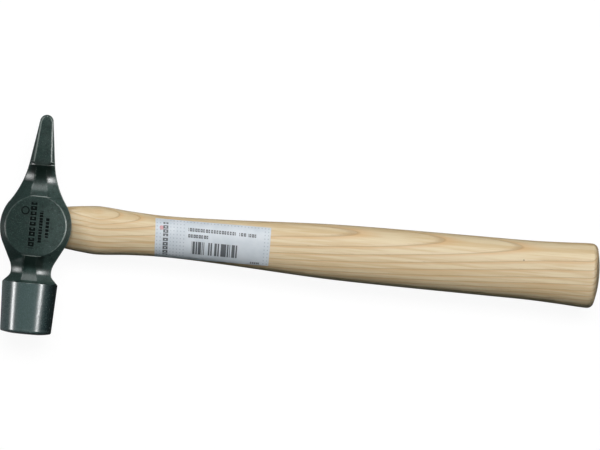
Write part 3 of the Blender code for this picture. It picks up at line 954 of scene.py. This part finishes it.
def forged_steel():
    """Dark teal lacquer over a forging: fine grain, worn edges that also carry painted highlights, painted
    shade and light across the head, and a smoother ground poll.
    """
    material, shade = new_material("dark_forged_steel")
    place = shade.millimetres()
    x, y, z = shade.parts(place)
    poll = shade.ramp(shade.attribute("poll"), 0.35, 0.65)
    turn = shade.attribute("edge_wear")

    grain = shade.noise(place, 1.9, 4.0, 0.6)
    patches = shade.noise(place, 0.11, 4.0, 0.6)
    scale_marks = shade.noise(place, 0.55, 5.0, 0.7)
    # Mottled lacquer, painted lighter towards +X: the mottle is the lacquer's own, the gradient across x
    # is painted light.
    side = shade.math("MULTIPLY_ADD", shade.math("SUBTRACT", patches, 0.5), 40.0, x)
    lacquer = shade.mix(shade.ramp(side, -10.0, 18.0), srgb(18, 39, 35), srgb(54, 71, 67))
    lacquer = shade.tint(shade.ramp(scale_marks, 0.48, 0.66), 0.6, lacquer, srgb(8, 20, 18))
    lacquer = shade.tint(shade.ramp(grain, 0.52, 0.66), 0.4, lacquer, srgb(78, 100, 95))
    # Painted shade: the middle flats of the necks, just above and just below the cheek, are darkened.
    above_cheek = shade.between(y, 81.5, 92.0, 2.5)
    below_cheek = shade.between(y, 35.5, 42.5, 1.5)
    hollow_shade = shade.math("MAXIMUM", above_cheek, below_cheek)
    hollow_shade = shade.math("MULTIPLY", hollow_shade, shade.between(x, -5.0, 6.0, 0.8))
    lacquer = shade.tint(hollow_shade, 0.7, lacquer, srgb(4, 14, 10))

    ground = shade.mix(shade.ramp(grain, 0.4, 0.62), srgb(38, 60, 60), srgb(66, 86, 86))
    # Painted highlight: a lighter band down the middle of the poll. Painted shade: the poll darkens
    # towards its edge at +X.
    ground = shade.tint(shade.between(x, -6.0, 4.5, 1.5), 0.36, ground, srgb(98, 116, 114))
    ground = shade.mix(shade.ramp(x, 6.0, 14.0), ground, srgb(14, 30, 31))
    colour = shade.mix(poll, lacquer, ground)

    # Edges worn bright, partly real wear and partly painted edge highlights: stronger towards +X, held
    # back at the end of the peen flat, and joined by light specks towards +X.
    chips = shade.noise(place, 1.1, 4.0, 0.7)
    uneven_turn = shade.math("MULTIPLY_ADD", shade.math("SUBTRACT", chips, 0.5), 1.4, turn)
    wear_and_highlight = shade.ramp(uneven_turn, 0.35, 1.0)
    wear_and_highlight = shade.math("MULTIPLY", wear_and_highlight, shade.spread(poll, 0.9, 0.1))
    wear_and_highlight = shade.math("MULTIPLY", wear_and_highlight, shade.spread(shade.ramp(x, -7.0, -1.0), 0.08, 0.42))
    flat_end = shade.between(y, PEEN_FLAT_Y - 1.6, PEEN_FLAT_Y + 1.4, 0.3)
    wear_and_highlight = shade.math("MULTIPLY", wear_and_highlight, shade.spread(flat_end, 1.0, 0.2))
    specks = shade.ramp(shade.noise(place, 1.3, 3.0, 0.6), 0.645, 0.7)
    specks = shade.math("MULTIPLY", specks, shade.ramp(x, 2.0, 13.0))
    wear_and_highlight = shade.math("MAXIMUM", wear_and_highlight, shade.math("MULTIPLY", specks, 0.45))
    colour = shade.mix(wear_and_highlight, colour, srgb(176, 188, 182))

    marks = stamped_marks(shade, x, y)
    marks = shade.math("MULTIPLY", marks, shade.ramp(z, 12.0, 12.3))
    colour = shade.tint(marks, 0.95, colour, srgb(2, 6, 6))

    rough = shade.spread(scale_marks, 0.26, 0.36)
    poll_rough = shade.spread(grain, 0.22, 0.3)
    rough = shade.add("Mix", {0: poll, 2: rough, 3: poll_rough}).outputs[0]
    shine = shade.spread(poll, 0.5, 0.75)
    shine = shade.math("MULTIPLY", shine, shade.spread(marks, 1.0, 0.1))

    rings = shade.noise(shade.stretched(place, 0.4, 5.0, 0.4), 1.0, 3.0)
    relief = shade.bump(grain, 0.04, shade.spread(poll, 0.5, 0.15))
    relief = shade.bump(shade.math("MULTIPLY", rings, poll), 0.015, 0.4, relief)
    relief = shade.bump(marks, -0.05, 0.6, relief)
    return set_surface(
        material,
        shade,
        base_color=colour,
        roughness=rough,
        normal=relief,
        specular_ior_level=shine,
    )


def ash():
    """Pale ash: planar growth rings cut slantwise, open pores along each ring, fine fibre, one dark
    speck near the butt and a painted shadow of the head where the handle enters it.
    """
    material, shade = new_material("ash_wood")
    place = shade.millimetres()
    x, y, z = shade.parts(place)
    slow = shade.noise(shade.stretched(place, 0.012, 0.07, 0.07), 1.0, 2.0)
    depth = shade.vector("DOT_PRODUCT", place, (-0.064, 0.643, 0.766)).outputs["Value"]
    depth = shade.math("SUBTRACT", depth, 0.643 * EYE_Y)
    depth = shade.math("MULTIPLY_ADD", shade.math("SUBTRACT", slow, 0.5), 0.7, depth)
    tight = shade.math("MULTIPLY", shade.math("MAXIMUM", shade.math("SUBTRACT", depth, 6.0), 0.0), 0.444)
    count = shade.math("MULTIPLY_ADD", shade.math("SUBTRACT", depth, 0.18), 1 / 2.57, tight)
    ring = shade.math("FRACT", count)

    late = shade.ramp(ring, 0.62, 1.0)
    line = shade.math("MAXIMUM", shade.ramp(ring, 0.13, 0.02), shade.ramp(ring, 0.95, 1.0))
    fibre = shade.noise(shade.stretched(place, 0.05, 3.2, 3.2), 1.0, 4.0, 0.65)
    streaks = shade.noise(shade.stretched(place, 0.02, 0.5, 0.5), 1.0, 3.0)
    pores = shade.noise(shade.stretched(place, 0.22, 4.5, 4.5), 1.0, 2.0)
    pores = shade.math("MULTIPLY", shade.ramp(pores, 0.6, 0.72), shade.ramp(ring, 0.3, 0.05))

    colour = shade.mix(shade.ramp(streaks, 0.35, 0.65), srgb(224, 206, 171), srgb(212, 187, 146))
    colour = shade.tint(late, 0.5, colour, srgb(209, 165, 112))
    colour = shade.tint(line, 0.42, colour, srgb(158, 118, 78))
    colour = shade.tint(pores, 0.5, colour, srgb(134, 101, 66))
    colour = shade.tint(shade.ramp(fibre, 0.45, 0.75), 0.25, colour, srgb(192, 164, 118))

    # Painted shadow of the head on the handle, darkest at the eye and fading out along a slanted line.
    near_head = shade.math("MULTIPLY_ADD", shade.math("SUBTRACT", y, EYE_Y), 0.6, x)
    colour = shade.tint(shade.ramp(near_head, 30.0, 16.0), 0.5, colour, srgb(95, 80, 58))

    flat = shade.stretched(place, 1.0, 1.0, 0.0)
    away = shade.vector("DISTANCE", flat, (259.4, EYE_Y + 5.0, 0.0)).outputs["Value"]
    speck = shade.math("MULTIPLY", shade.ramp(away, 0.6, 0.2), shade.ramp(z, 0.0, 1.0))
    colour = shade.tint(speck, 0.7, colour, srgb(96, 78, 58))

    relief = shade.bump(fibre, 0.04, 0.35)
    relief = shade.bump(shade.math("ADD", line, pores), -0.05, 0.4, relief)
    return set_surface(
        material,
        shade,
        base_color=colour,
        roughness=shade.spread(fibre, 0.42, 0.62),
        normal=relief,
        specular_ior_level=0.35,
    )


def beech():
    """Darker, pinkish wedge wood with short brown flecks, its grain square to the handle's."""
    material, shade = new_material("beech_wood")
    place = shade.millimetres()
    flecks = shade.noise(shade.stretched(place, 0.8, 0.35, 5.0), 1.0, 2.0)
    fibre = shade.noise(shade.stretched(place, 0.3, 3.0, 6.0), 1.0, 4.0)
    colour = shade.mix(shade.ramp(fibre, 0.35, 0.65), srgb(188, 143, 98), srgb(164, 118, 78))
    colour = shade.tint(shade.ramp(flecks, 0.58, 0.7), 0.7, colour, srgb(112, 74, 46))
    relief = shade.bump(fibre, 0.05, 0.4)
    return set_surface(
        material, shade, base_color=colour, roughness=shade.spread(fibre, 0.5, 0.7), normal=relief
    )


def wedge_steel():
    """Bare sheared steel, its end dented and scratched by the hammer that drove it."""
    material, shade = new_material("wedge_steel")
    place = shade.millimetres()
    dents = shade.noise(place, 0.9, 3.0)
    scratches = shade.noise(shade.stretched(place, 6.0, 1.2, 6.0), 1.0, 3.0)
    colour = shade.mix(shade.ramp(dents, 0.35, 0.7), srgb(150, 148, 143), srgb(190, 190, 186))
    colour = shade.tint(shade.ramp(scratches, 0.55, 0.7), 0.4, colour, srgb(110, 104, 96))
    relief = shade.bump(dents, 0.12, 0.6)
    relief = shade.bump(scratches, 0.03, 0.5, relief)
    return set_surface(
        material,
        shade,
        base_color=colour,
        metallic=1.0,
        roughness=shade.spread(scratches, 0.25, 0.5),
        normal=relief,
    )


def printed_paper():
    """A pale label with plain greeked lines, a bar block and rows of dots, and no lettering."""
    material, shade = new_material("printed_label")
    sheet = shade.add("UVMap", {}, uv_map="sheet").outputs[0]
    sheet = shade.stretched(sheet, *[1 / LABEL_UV_SCALE] * 3)
    along, across, _ = shade.parts(sheet)

    def both(first, second):
        return shade.math("MULTIPLY", first, second)

    def either(*masks):
        total = masks[0]
        for mask in masks[1:]:
            total = shade.math("MAXIMUM", total, mask)
        return total

    def box(start, end, top, bottom):
        columns = shade.between(along, start, end, PRINT_SOFTNESS)
        return both(columns, shade.between(across, top, bottom, PRINT_SOFTNESS))

    def rows_of_dots(value, pitch):
        place = shade.math("FRACT", shade.math("DIVIDE", value, pitch))
        return shade.ramp(shade.math("ABSOLUTE", shade.math("SUBTRACT", place, 0.5)), 0.2, 0.12)

    bar = shade.math("FLOOR", shade.math("DIVIDE", along, LABEL_BAR_PITCH))
    printed = shade.math("LESS_THAN", shade.chance(shade.math("ADD", bar, 11.0)), 0.6)
    bars = both(box(*LABEL_BARS), printed)
    words = either(*(block_line(shade, along, across, *line, 0.2) for line in LABEL_LINES))
    side_words = block_line(shade, across, along, *LABEL_SIDE_LINE)
    dots = both(rows_of_dots(along, LABEL_DOT_PITCH[0]), rows_of_dots(across, LABEL_DOT_PITCH[1]))
    dots = both(dots, either(*(box(*field) for field in LABEL_DOT_FIELDS)))
    from_spot = shade.vector("DISTANCE", sheet, LABEL_SPOT).outputs["Value"]

    stain = shade.noise(sheet, 0.12, 3.0)
    fibres = shade.noise(sheet, 3.0, 4.0, 0.7)
    colour = shade.mix(shade.ramp(stain, 0.3, 0.7), srgb(196, 204, 211), srgb(208, 214, 220))
    colour = shade.tint(dots, 0.5, colour, srgb(120, 134, 152))
    colour = shade.tint(shade.ramp(from_spot, 1.3, 1.1), 0.6, colour, srgb(196, 84, 84))
    ink = both(either(bars, words, side_words), shade.spread(fibres, 0.75, 1.0))
    colour = shade.tint(ink, 0.95, colour, srgb(22, 25, 30))
    relief = shade.bump(fibres, 0.01, 0.3)
    return set_surface(
        material, shade, base_color=colour, roughness=shade.spread(fibres, 0.38, 0.5), normal=relief
    )


# Stage ------------------------------------------------------------------------------------------


def make_floor():
    """A pale floor that glows almost white, so that only a faint shadow shows on it."""
    mesh = bpy.data.meshes.new("floor")
    half = FLOOR_HALF * 0.001
    corners = [(x * half, y * half, FLOOR_Z * 0.001) for x, y in ((-1, -1), (1, -1), (1, 1), (-1, 1))]
    mesh.from_pydata(corners, [], [(0, 1, 2, 3)])
    floor = new_object("floor", mesh)
    material = bpy.data.materials.new("pale_floor")
    material.use_nodes = True
    shade = Shade(material.node_tree)
    material.node_tree.nodes.remove(material.node_tree.nodes["Principled BSDF"])
    matte = shade.add("BsdfDiffuse", {"Color": (0.92, 0.92, 0.92)}).outputs[0]
    glow = shade.add("Emission", {"Color": (1.0, 1.0, 1.0), "Strength": 1.04}).outputs[0]
    both = shade.add("MixShader", {0: 0.9, 1: matte, 2: glow}).outputs[0]
    shade.feed(material.node_tree.nodes["Material Output"].inputs["Surface"], both)
    mesh.materials.append(material)
    floor.visible_glossy = False
    floor.visible_diffuse = False


def softbox(name, azimuth, elevation, distance, size_x, size_y, radiance, target):
    """A rectangular light that faces the target; azimuth turns from +X to +Y."""
    a, e = math.radians(azimuth), math.radians(elevation)
    back = Vector((math.cos(a) * math.cos(e), math.sin(a) * math.cos(e), math.sin(e)))
    data = bpy.data.lights.new(name, "AREA")
    data.shape = "RECTANGLE"
    data.size = size_x
    data.size_y = size_y
    data.energy = radiance * math.pi * size_x * size_y
    light = bpy.data.objects.new(name, data)
    light.location = Vector(target) * 0.001 + back * distance
    light.rotation_mode = "QUATERNION"
    light.rotation_quaternion = back.to_track_quat("Z", "Y")
    bpy.context.scene.collection.objects.link(light)
    return light


def make_lights():
    """Boxes that only show as reflections, and a key panel that only lights matte surfaces."""
    for settings in SHEEN_LIGHTS:
        softbox(*settings).visible_diffuse = False
    softbox(*KEY_LIGHT).visible_glossy = False


def make_world():
    """White to the camera, a dim cool fill to matte surfaces and a shaded room to shiny ones."""
    world = bpy.data.worlds.new("studio")
    bpy.context.scene.world = world
    world.use_nodes = True
    shade = Shade(world.node_tree)
    direction = shade.add("TexCoord", {}).outputs["Generated"]
    x, y, z = shade.parts(direction)
    rays = shade.add("LightPath", {}).outputs
    fill = shade.mix(shade.ramp(z, -0.2, 0.9), (0.03, 0.042, 0.042), (0.06, 0.066, 0.066))
    zenith = shade.mix(shade.ramp(y, -0.25, 0.3), (0.005, 0.006, 0.006), (0.2, 0.2, 0.2))
    horizon = shade.mix(shade.ramp(x, 0.2, -0.8), (0.04, 0.045, 0.045), (0.4, 0.44, 0.45))
    mirrored = shade.mix(shade.ramp(z, 0.1, -0.2), zenith, horizon)
    colour = shade.mix(rays["Is Glossy Ray"], fill, mirrored)
    colour = shade.mix(rays["Is Camera Ray"], colour, (0.99, 0.99, 0.99))
    shade.feed(world.node_tree.nodes["Background"].inputs["Color"], colour)


def make_camera():
    """A long lens that looks almost straight down, rolled a little."""
    right = Vector((math.cos(ROLL), math.sin(ROLL), 0.0))
    up = Vector((-math.sin(ROLL), math.cos(ROLL), 0.0))
    back = Vector((0.0, 0.0, 1.0)) * math.cos(SIDE_TILT) - right * math.sin(SIDE_TILT)
    right = up.cross(back)
    data = bpy.data.cameras.new("camera")
    data.lens = LENS
    data.sensor_width = SENSOR
    data.clip_start = 0.1
    data.clip_end = 60.0
    camera = bpy.data.objects.new("camera", data)
    distance = FRAME_WIDTH * LENS / SENSOR
    place = Vector((*FRAME_CENTRE, 0.0)) + back * distance
    turn = Matrix((right, up, back)).transposed().to_4x4()
    camera.matrix_world = Matrix.Translation(place * 0.001) @ turn
    bpy.context.scene.collection.objects.link(camera)
    bpy.context.scene.camera = camera


make_head()
make_handle_and_wedges()
make_label()
make_floor()
make_lights()
make_world()
make_camera()
bpy.context.scene.view_settings.view_transform = "Standard"
